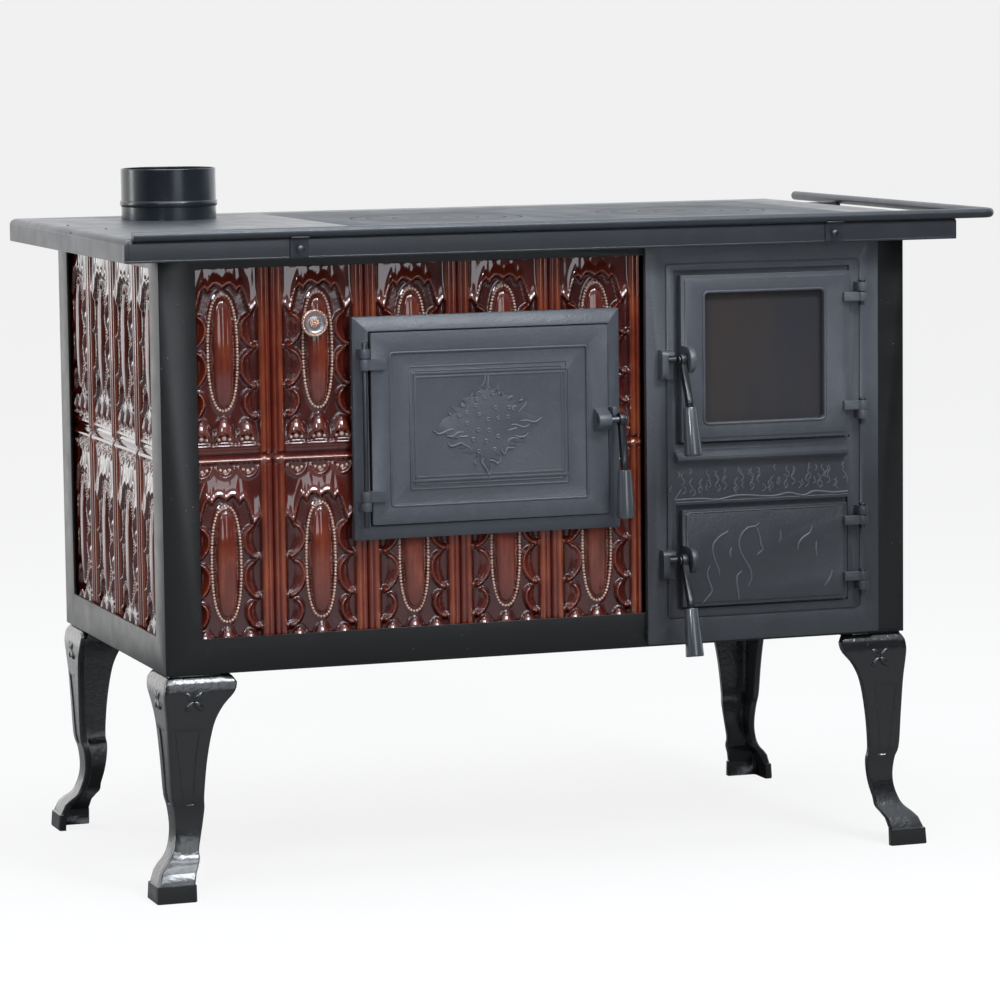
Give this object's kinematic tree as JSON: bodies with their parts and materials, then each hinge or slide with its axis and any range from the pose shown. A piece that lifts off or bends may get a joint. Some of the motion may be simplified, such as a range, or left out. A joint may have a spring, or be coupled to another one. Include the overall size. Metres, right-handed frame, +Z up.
{
  "type": "wood cookstove",
  "caption": "Enamelled-tile wood cookstove with oven, glazed fire door, ash door, lift-off hob rings, flue collar, guard rail and cast cabriole legs.",
  "frame": {"origin": "centre of the whole stove's footprint box, on the floor the feet stand on", "axes": "+Z up, +X to the right seen from the front, -Y towards the person who stands in front of the doors"},
  "size_m": [1.104, 0.65, 0.849],
  "materials": {
    "frame_paint": "satin black heat-proof paint",
    "tray_paint": "satin dark blue-grey paint",
    "cast_paint": "matte blue-grey paint on cast iron",
    "hob_iron": "bare blacked cast iron",
    "leg_enamel": "gloss black enamel",
    "tile_glaze": "glossy red-brown glaze",
    "sheet_steel": "dark sheet steel",
    "bright_steel": "plain steel",
    "grip_steel": "gloss black",
    "copper": "polished copper with dark ground",
    "firebrick": "rough fire clay",
    "door_glass": "clear heat-proof glass"
  },
  "bodies": {
    "stove": {"angle_frame": "frame_paint", "bottom_panel": "sheet_steel", "back_panel": "sheet_steel", "front_tiles_1": "tile_glaze", "front_tiles_2": "tile_glaze", "front_tiles_3": "tile_glaze", "front_tile_4_lower": "tile_glaze", "front_tile_4_upper": "tile_glaze", "front_tiles_5": "tile_glaze", "left_tiles": "tile_glaze", "right_tiles": "tile_glaze", "top_tray": "tray_paint", "flue_collar": "tray_paint", "guard_rail": "tray_paint", "rail_clip_1": "tray_paint", "rail_clip_2": "tray_paint", "leg_front_left": "leg_enamel", "leg_front_right": "leg_enamel", "leg_rear_right": "leg_enamel", "leg_rear_left": "leg_enamel", "oven_box": "sheet_steel", "oven_rack": "bright_steel", "oven_door_frame": "cast_paint", "oven_hinge_rod": "cast_paint", "fire_front": "cast_paint", "fire_hinge_pin_upper": "cast_paint", "fire_hinge_pin_lower": "cast_paint", "ash_hinge_pin_upper": "cast_paint", "ash_hinge_pin_lower": "cast_paint", "ash_box": "sheet_steel", "hearth_plate": "hob_iron", "grate": "hob_iron", "firebrick_left": "firebrick", "firebrick_right": "firebrick", "firebrick_rear": "firebrick", "ash_drawer": "sheet_steel", "flue_duct": "sheet_steel"},
    "hob_plate_left": {"hob_plate_left": "hob_iron"},
    "hob_ring_left": {"hob_ring_left": "hob_iron"},
    "hob_plug_left": {"hob_plug_left": "hob_iron"},
    "hob_plate_right": {"hob_plate_right": "hob_iron"},
    "hob_ring_right": {"hob_ring_right": "hob_iron"},
    "hob_plug_right": {"hob_plug_right": "hob_iron"},
    "oven_door": {"oven_door": "cast_paint", "oven_latch_pin": "cast_paint"},
    "oven_latch": {"oven_lever": "grip_steel", "oven_grip": "grip_steel"},
    "fire_door": {"fire_door": "cast_paint", "door_glass": "door_glass", "glass_retainer": "bright_steel", "fire_latch_pin": "cast_paint"},
    "fire_latch": {"fire_lever": "grip_steel", "fire_grip": "grip_steel"},
    "ash_door": {"ash_door": "cast_paint", "ash_latch_pin": "cast_paint"},
    "ash_latch": {"ash_lever": "grip_steel", "ash_grip": "grip_steel"},
    "damper": {"damper_plate": "sheet_steel", "damper_rod": "bright_steel", "damper_knob": "copper"}
  },
  "joints": [
    {"name": "oven_door_hinge", "type": "hinge", "parent": "stove", "child": "oven_door", "pos_m": [-0.257, -0.26563, 0.55], "axis": [0, 0, -1], "range_deg": [0, 110]},
    {"name": "fire_door_hinge", "type": "hinge", "parent": "stove", "child": "fire_door", "pos_m": [0.3825, -0.26733, 0.62], "axis": [0, 0, 1], "range_deg": [0, 110]},
    {"name": "ash_door_hinge", "type": "hinge", "parent": "stove", "child": "ash_door", "pos_m": [0.3825, -0.26733, 0.375], "axis": [0, 0, 1], "range_deg": [0, 110]},
    {"name": "oven_latch_turn", "type": "hinge", "parent": "oven_door", "child": "oven_latch", "pos_m": [0.056, -0.27663, 0.55], "axis": [-1, 0, 0], "range_deg": [0, 70]},
    {"name": "fire_latch_turn", "type": "hinge", "parent": "fire_door", "child": "fire_latch", "pos_m": [0.1405, -0.27933, 0.619], "axis": [-1, 0, 0], "range_deg": [0, 70]},
    {"name": "ash_latch_turn", "type": "hinge", "parent": "ash_door", "child": "ash_latch", "pos_m": [0.1405, -0.27933, 0.375], "axis": [-1, 0, 0], "range_deg": [0, 70]},
    {"name": "damper_pull", "type": "slide", "parent": "stove", "child": "damper", "axis": [0, -1, 0], "range_m": [0, 0.09]},
    {"name": "hob_plate_left_lift", "type": "slide", "parent": "stove", "child": "hob_plate_left", "axis": [0, 0, 1], "range_m": [0, 0.03]},
    {"name": "hob_ring_left_lift", "type": "slide", "parent": "hob_plate_left", "child": "hob_ring_left", "axis": [0, 0, 1], "range_m": [0, 0.06]},
    {"name": "hob_plug_left_lift", "type": "slide", "parent": "hob_ring_left", "child": "hob_plug_left", "axis": [0, 0, 1], "range_m": [0, 0.05]},
    {"name": "hob_plate_right_lift", "type": "slide", "parent": "stove", "child": "hob_plate_right", "axis": [0, 0, 1], "range_m": [0, 0.03]},
    {"name": "hob_ring_right_lift", "type": "slide", "parent": "hob_plate_right", "child": "hob_ring_right", "axis": [0, 0, 1], "range_m": [0, 0.06]},
    {"name": "hob_plug_right_lift", "type": "slide", "parent": "hob_ring_right", "child": "hob_plug_right", "axis": [0, 0, 1], "range_m": [0, 0.05]}
  ]
}
